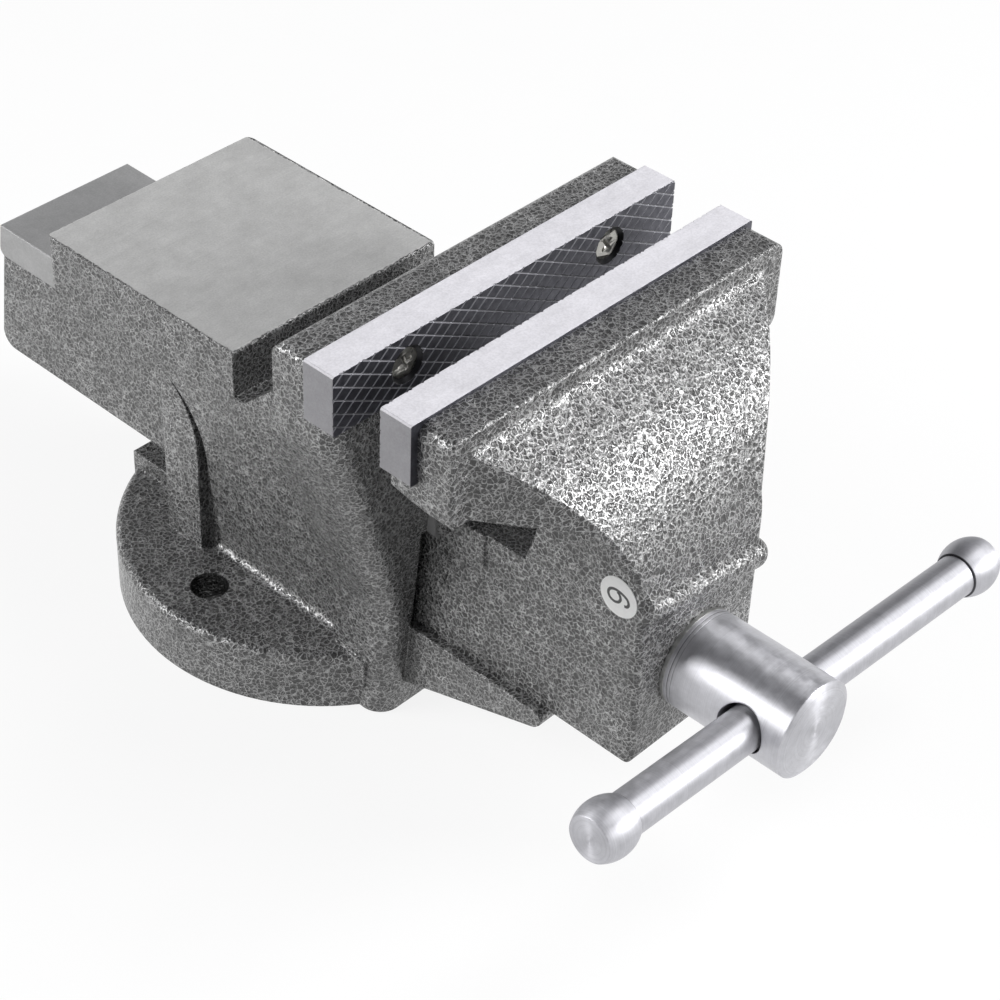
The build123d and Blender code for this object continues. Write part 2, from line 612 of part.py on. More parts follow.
def biarc(start, end):
    """Two arcs that meet smoothly between two points with directions."""
    (p1, t1), (p2, t2) = start, end
    v, t = p2 - p1, t1 + t2
    bend = 2 * (1 - t1.dot(t2))
    reach = (sqrt(v.dot(t) ** 2 + bend * v.dot(v)) - v.dot(t)) / bend
    middle = (p1 + p2 + (t1 - t2) * reach) * 0.5
    first = TangentArc(p1, middle, tangent=t1)
    return [first, TangentArc(middle, p2, tangent=first % 1)]


def return_spring():
    """Coil spring between the front wall and its washer, a quarter turn to each pair of arcs."""
    quarters = [helix(quarter / 4) for quarter in range(4 * SPRING_TURNS + 1)]
    arcs = [arc for pair in zip(quarters, quarters[1:]) for arc in biarc(*pair)]
    path = Wire([arc.edge() for arc in arcs])
    count = SPRING_SAMPLES * SPRING_TURNS
    samples = [path @ (i / count) for i in range(count + 1)]
    apart = min((a - b).length for i, a in enumerate(samples) for b in samples[i + SPRING_SAMPLES // 2:])
    print("return spring: least gap to itself", round(apart - SPRING_WIRE, 2), "mm")
    section = Plane(path @ 0, z_dir=path % 0) * Circle(SPRING_WIRE / 2)
    return sweep(section, path)


def spring_washer():
    front_y = spring_washer_y()
    return turned(ring(front_y, front_y + SPRING_WASHER, SCREW_RADIUS + SCREW_FIT, WASHER_RADIUS))


def split_pin():
    """Pin through the screw, with an eye at one end."""
    y = pin_y()
    eye_x = SCREW_RADIUS + PIN_EYE_RADIUS + PIN_EYE_WIRE
    tip_x = -SCREW_RADIUS - PIN_REACH
    legs = rod(PIN_RADIUS, (tip_x, y, SPINDLE_Z), (1, 0, 0), eye_x - PIN_EYE_RADIUS - tip_x)
    eye = Pos(eye_x, y, SPINDLE_Z) * Rot(X=90) * Torus(PIN_EYE_RADIUS, PIN_EYE_WIRE)
    return legs + eye


def spindle_nut():
    """Nut that stands on the base inside the bar's channel."""
    top = SPINDLE_Z + SCREW_RADIUS + NUT_WALL
    crown = NUT_HALF_WIDTH - NUT_CROWN / 2
    corners = both_sides([(NUT_HALF_WIDTH, PAD_TOP, 0), (NUT_HALF_WIDTH, top, crown)])
    body = along(corners, NUT_FRONT_Y, NUT_FRONT_Y + NUT_LENGTH)
    body -= turned(ring(NUT_FRONT_Y, NUT_FRONT_Y + NUT_LENGTH, 0, SCREW_RADIUS + TURN_FIT))
    tapped = rod(BOLT_RADIUS + SCREW_FIT, (0, NUT_MIDDLE_Y, PAD_TOP), (0, 0, 1), BOLT_GRIP + SCREW_FIT)
    return body - tapped


def nut_bolt():
    """Hexagon bolt from the hollow under the base up into the nut."""
    seat = RECESS_DEPTH - BOLT_WASHER
    plane = Plane((0, NUT_MIDDLE_Y, seat - BOLT_HEAD_HEIGHT))
    head = extrude(plane * RegularPolygon(BOLT_HEAD_ACROSS / 2, 6, major_radius=False), BOLT_HEAD_HEIGHT)
    return head + rod(BOLT_RADIUS, (0, NUT_MIDDLE_Y, seat), (0, 0, 1), PAD_TOP + BOLT_GRIP - seat)


def nut_washer():
    plane = Plane((0, NUT_MIDDLE_Y, RECESS_DEPTH - BOLT_WASHER))
    face = plane * (Circle(BOLT_WASHER_RADIUS) - Circle(BOLT_RADIUS + SCREW_FIT))
    return extrude(face, BOLT_WASHER)


def handle_axis_z():
    """The handle lies near the bottom of its hole."""
    return SPINDLE_Z - (HANDLE_HOLE_RADIUS - HANDLE_RADIUS - HANDLE_FIT)


def knob_seat(side):
    return HANDLE_OFFSET + side * HANDLE_SPAN / 2


def handle_bar():
    z = handle_axis_z()
    bar = rod(HANDLE_RADIUS, (knob_seat(-1), HANDLE_Y, z), (1, 0, 0), HANDLE_SPAN)
    for side in (-1, 1):
        bar += rod(TENON_RADIUS, (knob_seat(side), HANDLE_Y, z), (side, 0, 0), TENON_LENGTH)
    return bar.rotate(SPINDLE_AXIS, HANDLE_ANGLE)


def handle_knob(side):
    """Barrel-shaped knob on one end of the handle."""
    start = (knob_seat(side), HANDLE_Y, handle_axis_z())
    plane = Plane(start, x_dir=(side, 0, 0), z_dir=(0, 1, 0))
    neck, face = (0, KNOB_NECK_RADIUS), (KNOB_LENGTH, KNOB_FACE_RADIUS)
    barrel = ThreePointArc(neck, (KNOB_LENGTH / 2, KNOB_RADIUS), face)
    socket = [(TENON_LENGTH, 0), (TENON_LENGTH, TENON_RADIUS), (0, TENON_RADIUS)]
    rest = Polyline(face, (KNOB_LENGTH, 0), *socket, neck)
    knob = revolve(plane * make_face(barrel + rest), Axis(start, (1, 0, 0)))
    return knob.rotate(SPINDLE_AXIS, HANDLE_ANGLE)


def main():
    nodes = {
        "fixed_jaw_body": fixed_jaw_body(),
        "fixed_jaw_plate": jaw_plate(FIXED_FACE_Y, 1),
        "fixed_plate_screws": plate_screws(FIXED_FACE_Y, 1),
        "spindle_nut": spindle_nut(),
        "nut_bolt": nut_bolt(),
        "nut_washer": nut_washer(),
        "moving_jaw_body": moving_jaw_body(),
        "moving_jaw_plate": jaw_plate(MOVING_FACE_Y, -1),
        "moving_plate_screws": plate_screws(MOVING_FACE_Y, -1),
        "size_sticker": size_sticker(),
        "spindle": spindle(),
        "thrust_washer": thrust_washer(),
        "return_spring": return_spring(),
        "spring_washer": spring_washer(),
        "split_pin": split_pin(),
        "handle_bar": handle_bar(),
        "handle_knob_left": handle_knob(-1),
        "handle_knob_right": handle_knob(1),
    }
    os.makedirs("parts", exist_ok=True)
    for name, shape in nodes.items():
        export_step(shape, f"parts/{name}.step")


main()
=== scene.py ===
from math import cos, pi, radians, sin

import bmesh
import bpy
from mathutils import Matrix, Vector


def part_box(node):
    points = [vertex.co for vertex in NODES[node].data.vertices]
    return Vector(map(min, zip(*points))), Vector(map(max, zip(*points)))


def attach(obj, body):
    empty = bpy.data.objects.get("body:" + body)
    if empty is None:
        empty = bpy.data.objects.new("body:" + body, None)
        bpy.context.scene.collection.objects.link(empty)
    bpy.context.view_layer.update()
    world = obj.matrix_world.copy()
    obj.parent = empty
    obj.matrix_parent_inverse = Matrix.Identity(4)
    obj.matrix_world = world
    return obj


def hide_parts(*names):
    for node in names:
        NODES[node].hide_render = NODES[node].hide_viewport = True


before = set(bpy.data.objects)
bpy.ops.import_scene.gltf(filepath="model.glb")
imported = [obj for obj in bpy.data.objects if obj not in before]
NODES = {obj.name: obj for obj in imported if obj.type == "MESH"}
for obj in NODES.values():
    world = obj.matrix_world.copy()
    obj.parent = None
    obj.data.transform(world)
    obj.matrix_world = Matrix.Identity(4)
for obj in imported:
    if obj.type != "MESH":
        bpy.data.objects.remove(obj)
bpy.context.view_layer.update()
SCENE = bpy.context.scene

# Sizes that the looks need, in metres, in the part's own frame
BAR_TOP = 0.0933
BAR_HALF = 0.0295
RAIL_BOTTOM = BAR_TOP - 0.013
RAIL_FRONT = -0.082
TAIL_Y = 0.1360
TAIL_LEAN = 0.1405
ANVIL_TOP = 0.1207
ANVIL_X = 0.046
ANVIL_Y = (-0.0065, 0.0875)
BOLT_X = 0.0545
BOLT_RADIUS = 0.0066
SPINDLE_Z = 0.0661
HUB_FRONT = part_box("spindle")[0].y
HUB_ROOT = HUB_FRONT + 0.046
# Grooves at the hub's root, darkened as painted shade
HUB_RINGS = ((-0.0014, 0.00022, 0.6), (-0.0027, 0.0002, 0.35))  # place, half width, darkness
# The seams where the knobs sit on the bar, darkened as painted shade in the gap
SEAM_HALF, SEAM_SHADE_DARKNESS = 0.0003, 0.85
HANDLE_TILT = radians(3.5)
HANDLE_Y = -0.198
HANDLE_DROP = 0.0009
KNOB_SEATS = (-0.0705, 0.0965)

# The cut thread on the screw
SCREW_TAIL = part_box("spindle")[1].y
SCREW_RADIUS = 0.012
TAIL_CHAMFER = 0.0012
THREAD_START = -0.1060
THREAD_LEAD = 0.005
THREAD_DEPTH = 0.0021
THREAD_STEPS = 40

# The plate screws, with the cross recesses in their heads
SCREW_X = 0.045
SCREW_Z = sum(corner.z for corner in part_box("fixed_plate_screws")) / 2
SUNK_RADIUS = 0.0066
HEAD_SINK = 0.0013
RECESS_TURNS = ((-1, radians(20)), (1, radians(38)))
RECESS_RISE, RECESS_DEPTH = 0.0005, 0.0026
RECESS_MOUTH, RECESS_FOOT, RECESS_BAR = 0.0033, 0.0011, 0.00115

# The V grooves on the gripping faces
FLAT_ANGLE, FLAT_SPACING = radians(-28), 0.0043
STEEP_ANGLE, STEEP_SPACING = radians(40), 0.00405
GROOVE_HALF, GROOVE_DEPTH, GROOVE_PROUD = 0.00032, 0.00042, 0.0004
GROOVE_PHASE = 0.35
GROOVE_LENGTH = 0.24
GRIP_REACH_X, GRIP_REACH_Z = 0.105, 0.012

# The number on the sticker, as points of one stroke in a square of side 1
NUMBER_STROKE = (
    (0.24, 0.31), (0.19, 0.44), (0.03, 0.50), (-0.16, 0.39), (-0.27, 0.10), (-0.28, -0.20), (-0.17, -0.43),
    (0.03, -0.50), (0.22, -0.41), (0.30, -0.19), (0.22, 0.02), (0.04, 0.10), (-0.13, 0.04), (-0.222, -0.08),
)
NUMBER_HEIGHT = 0.0081
NUMBER_SPIN = radians(92)
NUMBER_STEPS = 6
HALF_STROKE = 0.060
HALF_FILM = 0.00002

# Colours, linear
ANVIL_GREY = (0.62, 0.62, 0.61, 1)
RAIL_GREY = (0.42, 0.42, 0.42, 1)
# Near black inside the bolt holes: bare metal, with painted shade
HOLE_BARE_AND_SHADE = (0.012, 0.012, 0.012, 1)
TURNED_STEEL = (0.57, 0.57, 0.60, 1)
# Near black for the painted shade in turned grooves and seams
GROOVE_SHADE_BLACK = (0.03, 0.03, 0.035, 1)
GROUND_STEEL = (0.77, 0.76, 0.80, 1)
FORGED_DARK, FORGED_LIGHT = (0.055, 0.055, 0.068, 1), (0.12, 0.12, 0.14, 1)
# Painted light and shade for the groove walls, from those facing down to those facing up
GROOVE_WALL_SHADED, GROOVE_WALL_LIT = (0.02, 0.02, 0.025, 1), (0.36, 0.36, 0.39, 1)
# Painted shade in the countersinks round the plate screws
COUNTERSINK_SHADE = (0.018, 0.018, 0.02, 1)
SCREW_ZINC = (0.62, 0.61, 0.57, 1)
FASTENER_ZINC = (0.55, 0.55, 0.54, 1)
SPRING_STEEL = (0.17, 0.17, 0.18, 1)
CAST_DARK, CAST_LIGHT = (0.07, 0.07, 0.072, 1), (0.19, 0.185, 0.18, 1)
CAST_RUST = (0.13, 0.085, 0.06, 1)
FILM_WHITE, FILM_DIRT = (0.93, 0.93, 0.92, 1), (0.74, 0.74, 0.73, 1)
AIR_GREY = (0.22, 0.22, 0.23, 1)

# Hammered enamel: features to a metre, lengths in metres, and widths as shares of a dent
DENTS, FINE_DENTS = 510, 1150
WARPS, WANDERS, PATCHES = 420, 1000, 340
GRAINS, BLOTCHES = 1700, 55
RIPPLES, WAVES = 900, 170
WARP_REACH = 0.0020
DENT_DEPTH, RIPPLE_DEPTH, WAVE_DEPTH = 0.00015, 0.00012, 0.00060
VEIN_WIDTH, FINE_VEIN_WIDTH, VEIN_WANDER, BOWL_WIDTH = 0.16, 0.11, 0.22, 0.42
ENAMEL_STOPS = ((0.0, 0.37), (0.32, 0.21), (0.64, 0.052), (1.0, 0.028))  # from vein to dent

# Machined faces: marks to a metre, and lengths in metres
STREAKS_ACROSS, STREAKS_ALONG = 900.0, 45.0
STREAK_DEPTH = 0.00003
CLOUDS, SPECKS = 120, 1500
TURNING_MARKS, SMEARS = 2600, 260
RAGGED_EDGES, RAGGED_REACH = 520, 0.0016

# How far the shading rounds off the edges, in metres, and the angle of an edge that stays sharp
CASTING_EDGE, NUT_EDGE, TURNED_EDGE = 0.0009, 0.0008, 0.0006
PLATE_EDGE, SMALL_EDGE = 0.00035, 0.0003
SHARP_DEGREES, PAPER_DEGREES = 30, 40
FACES_OUTWARD = 0.97  # cosine of the angle to the radius

# Points nearer than these, in metres, are one
NODE_WELD, THREAD_WELD = 1e-7, 1e-6

# The range that most of a noise's values lie in
NOISE_LOW, NOISE_HIGH = 0.3, 0.7

# The studio: a sweep of paper as (radius, height), and softboxes
PAPER_PROFILE = ((0.0, 0.0), (1.9, 0.0), (2.2, 0.04), (2.42, 0.16), (2.5, 0.36), (2.5, 0.9))
PAPER_SEGMENTS = 96
PAPER_DROP = 0.0002
PAPER_BOUNCE = 0.22
PAPER_GLOW = 0.86
LIGHT_AIM = (0, -0.04, 0.09)
SOFTBOXES = (  # name, direction, distance, side in metres, watts
    ("softbox_front", (0.525, -0.777, 0.348), 1.32, 0.48, 15),
    ("softbox_left", (-0.72, 0.52, 0.43), 1.25, 0.65, 12),
    ("softbox_top", (0.45, -0.35, 0.82), 1.40, 0.60, 8),
)

# The photograph's camera, found from the straight edges in it
CAMERA_BACK = (-0.57478, -0.51247, 0.63796)
CAMERA_AIM = (-0.0128, -0.0940, 0.0929)
CAMERA_DISTANCE = 0.8215
CAMERA_ROLL = radians(2.6)
CAMERA_LENS, CAMERA_SENSOR = 93.672, 36.0
CAMERA_CLIP = (0.01, 50)


class Shade:
    """One node-based material, built a node at a time."""

    def __init__(self, name):
        self.material = bpy.data.materials.new(name)
        self.material.use_nodes = True
        self.tree = self.material.node_tree
        self.shader = self.tree.nodes["Principled BSDF"]

    def node(self, kind, *inputs, **settings):
        made = self.tree.nodes.new(kind)
        for key, value in settings.items():
            setattr(made, key, value)
        for place, value in enumerate(inputs):
            self.feed(made.inputs[place], value)
        return made

    def feed(self, socket, value):
        if value is None:
            return
        if isinstance(value, bpy.types.NodeSocket):
            self.tree.links.new(value, socket)
        else:
            socket.default_value = value

    def set(self, **values):
        """Values or sockets for the shader, by the names of its inputs."""
        for name, value in values.items():
            self.feed(self.shader.inputs[name.replace("_", " ")], value)

    def math(self, operation, a, b=None, c=None):
        return self.node("ShaderNodeMath", a, b, c, operation=operation).outputs[0]

    def product(self, first, *others):
        for other in others:
            first = self.math("MULTIPLY", first, other)
        return first

    def diagonal(self, a, b):
        """Length of the diagonal over two lengths."""
        return self.math("SQRT", self.math("ADD", self.product(a, a), self.product(b, b)))

    def vector_math(self, operation, a, b):
        return self.node("ShaderNodeVectorMath", a, b, operation=operation).outputs[0]

    def place(self):
        """Object coordinates, which are the part's frame in metres."""
        return self.node("ShaderNodeTexCoord").outputs["Object"]

    def split(self, vector):
        return self.node("ShaderNodeSeparateXYZ", vector).outputs

    def stretch(self, vector, scale, turn=(0, 0, 0)):
        made = self.node("ShaderNodeMapping", vector)
        made.inputs["Scale"].default_value = scale
        made.inputs["Rotation"].default_value = turn
        return made.outputs[0]

    def noise(self, vector, scale, detail=2.0, roughness=0.5, output="Fac"):
        made = self.node("ShaderNodeTexNoise")
        self.feed(made.inputs["Vector"], vector)
        made.inputs["Scale"].default_value = scale
        made.inputs["Detail"].default_value = detail
        made.inputs["Roughness"].default_value = roughness
        return made.outputs[output]

    def cells(self, vector, scale, feature, output):
        made = self.node("ShaderNodeTexVoronoi", feature=feature)
        self.feed(made.inputs["Vector"], vector)
        made.inputs["Scale"].default_value = scale
        return made.outputs[output]

    def ramp(self, value, *stops):
        """Colour or grey from a value, through (position, grey or colour) stops."""
        made = self.node("ShaderNodeValToRGB", value)
        points = made.color_ramp.elements
        while len(points) < len(stops):
            points.new(0.5)
        for point, (position, tone) in zip(points, stops):
            point.position = position
            point.color = tone if isinstance(tone, tuple) else (tone, tone, tone, 1)
        return made.outputs[0]

    def range(self, value, low, high, to_low=0.0, to_high=1.0):
        """A value from one range to another, held at its ends."""
        return self.node("ShaderNodeMapRange", value, low, high, to_low, to_high).outputs[0]

    def smooth(self, value, low, high):
        """From 0 to 1 as a value goes from low to high, with soft ends."""
        made = self.node("ShaderNodeMapRange", value, low, high, interpolation_type="SMOOTHSTEP")
        return made.outputs[0]

    def vary(self, noise, low, high):
        """A noise brought to a range."""
        return self.range(noise, NOISE_LOW, NOISE_HIGH, low, high)

    def swing(self, noise, reach):
        """A noise brought to a swing about zero."""
        return self.math("MULTIPLY_ADD", noise, reach, -reach / 2)

    def mix(self, factor, first, second, blend="MIX"):
        made = self.node("ShaderNodeMix", data_type="RGBA", blend_type=blend)
        colours = [socket for socket in made.inputs if socket.type == "RGBA"]
        self.feed(made.inputs[0], factor)
        self.feed(colours[0], first)
        self.feed(colours[1], second)
        return [socket for socket in made.outputs if socket.type == "RGBA"][0]

    def tint(self, colour, *levels):
        """A colour made darker or lighter by all the levels."""
        return self.mix(1.0, colour, self.product(*levels), "MULTIPLY")

    def blend(self, factor, first, second):
        """A number between two numbers."""
        made = self.node("ShaderNodeMix", data_type="FLOAT")
        self.feed(made.inputs[0], factor)
        self.feed(made.inputs[2], first)
        self.feed(made.inputs[3], second)
        return made.outputs[0]

    def bump(self, height, distance, strength=1.0, normal=None):
        made = self.node("ShaderNodeBump")
        made.inputs["Strength"].default_value = strength
        made.inputs["Distance"].default_value = distance
        self.feed(made.inputs["Height"], height)
        self.feed(made.inputs["Normal"], normal)
        return made.outputs[0]

    def warp(self, vector, scale, reach):
        """Coordinates that wander by up to half a reach."""
        drift = self.noise(vector, scale, 2, 0.55, "Color")
        centred = self.vector_math("SUBTRACT", drift, (0.5,) * 3)
        return self.vector_math("ADD", vector, self.vector_math("MULTIPLY", centred, (reach,) * 3))

    def soft_edges(self, radius):
        """Normals that round off the sharp edges."""
        made = self.node("ShaderNodeBevel", samples=4)
        made.inputs["Radius"].default_value = radius
        return made.outputs[0]


def hammered(shade, co):
    """Colour, height in metres and vein mask of hammered enamel: dark dents in a net of silver veins."""
    warped = shade.warp(co, WARPS, WARP_REACH)
    large = shade.cells(warped, DENTS, "DISTANCE_TO_EDGE", "Distance")
    small = shade.cells(warped, FINE_DENTS, "DISTANCE_TO_EDGE", "Distance")
    wander = shade.swing(shade.noise(co, WANDERS, 3, 0.6), VEIN_WANDER)
    patch = shade.smooth(shade.noise(co, PATCHES, 2), 0.46, 0.62)
    net = shade.smooth(shade.math("ADD", large, wander), 0.0, VEIN_WIDTH)
    fine_net = shade.smooth(small, 0.0, FINE_VEIN_WIDTH)
    dent = shade.product(net, shade.blend(patch, fine_net, 1.0))
    each = shade.range(shade.cells(warped, DENTS, "F1", "Color"), 0.0, 1.0, 0.65, 1.35)
    grain = shade.vary(shade.noise(co, GRAINS, 2), 0.68, 1.28)
    blotch = shade.vary(shade.noise(co, BLOTCHES, 3), 0.86, 1.14)
    colour = shade.tint(shade.ramp(dent, *ENAMEL_STOPS), each, grain, blotch)
    veins = shade.range(dent, 0.05, 0.65, 1.0, 0.0)
    bowl = shade.math("MULTIPLY_ADD", fine_net, 0.35, shade.smooth(large, 0.0, BOWL_WIDTH))
    ripple = shade.product(shade.noise(co, RIPPLES, 2), RIPPLE_DEPTH)
    wave = shade.product(shade.noise(co, WAVES, 2), WAVE_DEPTH)
    height = shade.math("MULTIPLY_ADD", bowl, -DENT_DEPTH, shade.math("ADD", ripple, wave))
    return colour, height, veins


def milled(shade, co, tone, along, contrast):
    """Colour of a machined grey face, and the streaks in it along one axis."""
    marks = [STREAKS_ACROSS] * 3
    marks["XYZ".index(along)] = STREAKS_ALONG
    streaks = shade.noise(shade.stretch(co, marks), 1.0, 3, 0.6)
    lines = shade.vary(streaks, 1 - 0.09 * contrast, 1 + 0.06 * contrast)
    clouds = shade.vary(shade.noise(co, CLOUDS, 5, 0.7), 1 - 0.30 * contrast, 1 + 0.18 * contrast)
    specks = shade.vary(shade.noise(co, SPECKS, 1), 0.92, 1.06)
    return shade.tint(tone, lines, clouds, specks), streaks


def bolt_holes_bare_and_shaded(shade, co):
    """Mask of the insides of the two bench bolt holes, which are bare of paint and take painted shade where
    light hardly reaches.
    """
    x, y, _ = shade.split(co)
    beside = shade.math("SUBTRACT", shade.math("ABSOLUTE", x), BOLT_X)
    return shade.range(shade.diagonal(beside, y), BOLT_RADIUS, BOLT_RADIUS + 0.0003, 1.0, 0.0)


def casting_material(name, bare_mask, tone, along):
    """Hammered enamel, with bare machined metal where a mask says so."""
    shade = Shade(name)
    co = shade.place()
    paint, paint_height, veins = hammered(shade, co)
    metal, streaks = milled(shade, co, tone, along, 0.4)
    # The insides of the bolt holes go near black: bare metal, and painted shade
    paint = shade.mix(bolt_holes_bare_and_shaded(shade, co), paint, HOLE_BARE_AND_SHADE)
    bare = bare_mask(shade, co)
    height = shade.blend(bare, paint_height, shade.product(streaks, STREAK_DEPTH))
    shade.set(
        Base_Color=shade.mix(bare, paint, metal),
        Metallic=shade.blend(bare, shade.product(veins, 0.60), 0.45),
        Roughness=shade.blend(bare, shade.range(veins, 0.0, 1.0, 0.22, 0.30), 0.50),
        Specular_IOR_Level=0.75,
        Normal=shade.bump(height, 1.0, 1.0, shade.soft_edges(CASTING_EDGE)),
    )
    return shade.material


def between(shade, value, low, high, soft=0.00015):
    """Mask of a band of values, with soft ends."""
    rise = shade.range(value, low - soft, low + soft)
    fall = shade.range(value, high - soft, high + soft, 1.0, 0.0)
    return shade.product(rise, fall)


def anvil_is_bare(shade, co):
    """The anvil's face, with a ragged border."""
    x, y, z = shade.split(co)
    ragged = shade.swing(shade.noise(co, RAGGED_EDGES, 3), RAGGED_REACH)
    length = between(shade, shade.math("ADD", y, ragged), ANVIL_Y[0] + 0.0008, ANVIL_Y[1] - 0.0008)
    beside = shade.math("ADD", shade.math("ABSOLUTE", x), ragged)
    width = shade.range(beside, ANVIL_X - 0.0010, ANVIL_X - 0.0006, 1.0, 0.0)
    return shade.product(length, width, shade.range(z, ANVIL_TOP - 0.0009, ANVIL_TOP - 0.0005))


def rails_are_bare(shade, co):
    """The bar's top and the rails on its sides and its tail, behind the jaw."""
    x, y, z = shade.split(co)
    behind = shade.range(y, RAIL_FRONT - 0.0015, RAIL_FRONT)
    top = between(shade, z, BAR_TOP - 0.0003, BAR_TOP + 0.0004)
    over_bottom = shade.range(z, RAIL_BOTTOM - 0.0004, RAIL_BOTTOM - 0.0002)
    under_top = shade.range(z, BAR_TOP + 0.0002, BAR_TOP + 0.0004, 1.0, 0.0)
    flanks = shade.range(shade.math("ABSOLUTE", x), BAR_HALF - 0.0005, BAR_HALF - 0.0002)
    reach = shade.math("MULTIPLY_ADD", shade.math("SUBTRACT", z, BAR_TOP), TAIL_LEAN, y)
    tail = shade.range(reach, TAIL_Y - 0.0006, TAIL_Y - 0.0003)
    sides = shade.product(over_bottom, shade.math("MAXIMUM", flanks, tail), under_top)
    return shade.product(behind, shade.math("MAXIMUM", top, sides))


def turned_material(name, axis, axis_turn, centre, roughness, rings):
    """Turned steel, with fine marks and grooves round an axis that a rotation brings to Z; the grooves are
    bumped in and darkened as painted shade.
    """
    shade = Shade(name)
    co = shade.stretch(shade.vector_math("SUBTRACT", shade.place(), centre), (1, 1, 1), axis_turn)
    x, y, z = shade.split(co)
    out = shade.product(shade.diagonal(x, y), TURNING_MARKS)
    across = shade.node("ShaderNodeCombineXYZ", out, 0.0, shade.product(z, TURNING_MARKS)).outputs[0]
    marks = shade.noise(across, 1.0, 3, 0.6)
    smear = shade.noise(co, SMEARS, 5, 0.65)
    colour = shade.tint(TURNED_STEEL, shade.vary(marks, 0.9, 1.06), shade.vary(smear, 0.86, 1.08))
    height = shade.product(marks, 0.35)
    # Painted shade: each groove is darkened towards near black
    for place, half, shade_darkness in rings:
        gap = shade.math("ABSOLUTE", shade.math("SUBTRACT", z, place))
        groove = shade.range(gap, half * 0.4, half, 1.0, 0.0)
        colour = shade.mix(shade.product(groove, shade_darkness), colour, GROOVE_SHADE_BLACK)
        height = shade.math("SUBTRACT", height, groove)
    shade.set(
        Base_Color=colour,
        Metallic=1.0,
        Roughness=shade.vary(smear, roughness - 0.05, roughness + 0.07),
        Anisotropic=0.6,
        Anisotropic_Rotation=0.25,
        Tangent=shade.node("ShaderNodeTangent", direction_type="RADIAL", axis=axis).outputs[0],
        Normal=shade.bump(height, 0.00012, 0.55, shade.soft_edges(TURNED_EDGE)),
    )
    return shade.material


def plate_material():
    """Ground steel, darker on the sawn ends and the gripping face, whose groove walls take painted light
    and shade: lighter facing up, darker facing down.
    """
    shade = Shade("ground_plate")
    co = shade.place()
    x, _, z = shade.split(co)
    normal = shade.split(shade.node("ShaderNodeNewGeometry").outputs["True Normal"])
    facing = shade.math("ABSOLUTE", normal[1])
    grip = shade.range(facing, 0.35, 0.5)
    flat = shade.range(facing, 0.9, 0.97)
    sawn = shade.range(shade.math("ABSOLUTE", normal[0]), 0.6, 0.8, 1.0, 0.42)
    ground, streaks = milled(shade, co, GROUND_STEEL, "X", 0.35)
    ground = shade.tint(ground, sawn)
    scale_marks = shade.noise(co, 420, 4, 0.65)
    forged_and_groove_shading = shade.ramp(scale_marks, (0.3, FORGED_DARK), (0.7, FORGED_LIGHT))
    # Painted light and shade: groove walls lighter as they face up, darker as they face down
    groove_wall_light_and_shade = shade.ramp(shade.range(normal[2], -0.4, 0.4), (0.3, GROOVE_WALL_SHADED), (0.8, GROOVE_WALL_LIT))
    forged_and_groove_shading = shade.mix(flat, groove_wall_light_and_shade, forged_and_groove_shading)
    # Painted shade: the countersinks round the screw heads go near black
    beside = shade.math("SUBTRACT", shade.math("ABSOLUTE", x), SCREW_X)
    reach = shade.diagonal(beside, shade.math("SUBTRACT", z, SCREW_Z))
    countersink_shade = shade.range(reach, SUNK_RADIUS - 0.00015, SUNK_RADIUS, 1.0, 0.0)
    height = shade.math("ADD", shade.product(streaks, 0.4), shade.product(scale_marks, 0.3))
    shade.set(
        Base_Color=shade.mix(countersink_shade, shade.mix(grip, ground, forged_and_groove_shading), COUNTERSINK_SHADE),
        Metallic=shade.blend(grip, 0.12, 0.8),
        Roughness=shade.blend(grip, shade.vary(streaks, 0.42, 0.54), 0.38),
        Normal=shade.bump(height, 0.00008, 0.4, shade.soft_edges(PLATE_EDGE)),
    )
    return shade.material


def plated_material(name, tone, roughness, patchy):
    """Zinc-plated or oiled steel for the small pieces."""
    shade = Shade(name)
    co = shade.place()
    bloom = shade.noise(co, 650, 4, 0.65)
    grime = shade.range(shade.noise(co, 190, 3, 0.6), 0.3, 0.75, 1.05, 1 - patchy)
    shade.set(
        Base_Color=shade.tint(tone, shade.vary(bloom, 1 - patchy, 1.1), grime),
        Metallic=0.95,
        Roughness=shade.vary(bloom, roughness - 0.08, roughness + 0.1),
        Normal=shade.bump(bloom, 0.00008, 0.35, shade.soft_edges(SMALL_EDGE)),
    )
    return shade.material


def cast_material():
    """Bare cast iron for the nut."""
    shade = Shade("bare_casting")
    co = shade.place()
    grain = shade.noise(co, 520, 5, 0.65)
    rust = shade.range(shade.noise(co, 60, 4, 0.6), 0.52, 0.72)
    grey = shade.ramp(grain, (0.3, CAST_DARK), (0.7, CAST_LIGHT))
    shade.set(
        Base_Color=shade.mix(rust, grey, CAST_RUST),
        Metallic=0.5,
        Roughness=shade.vary(grain, 0.5, 0.72),
        Normal=shade.bump(grain, 0.0003, 0.7, shade.soft_edges(NUT_EDGE)),
    )
    return shade.material


def sticker_material():
    """White printed film, with faint dirt."""
    shade = Shade("sticker_film")
    co = shade.place()
    dirt = shade.range(shade.noise(co, 420, 4, 0.6), 0.45, 0.8, 0.0, 0.35)
    shade.set(
        Base_Color=shade.mix(dirt, FILM_WHITE, FILM_DIRT),
        Roughness=shade.range(dirt, 0.0, 0.35, 0.32, 0.5),
        Normal=shade.bump(shade.noise(co, 900, 2), 0.00003, 0.3),
    )
    return shade.material


def ink_material():
    """Printed ink, worn in places."""
    shade = Shade("sticker_ink")
    worn = shade.noise(shade.place(), 2400, 3, 0.6)
    shade.set(
        Base_Color=shade.ramp(worn, (0.35, 0.035), (0.8, 0.11)),
        Roughness=shade.vary(worn, 0.35, 0.5),
    )
    return shade.material


def dress(material, *nodes):
    """Gives CAD nodes their one material."""
    for node in nodes:
        materials = NODES[node].data.materials
        materials.clear()
        materials.append(material)


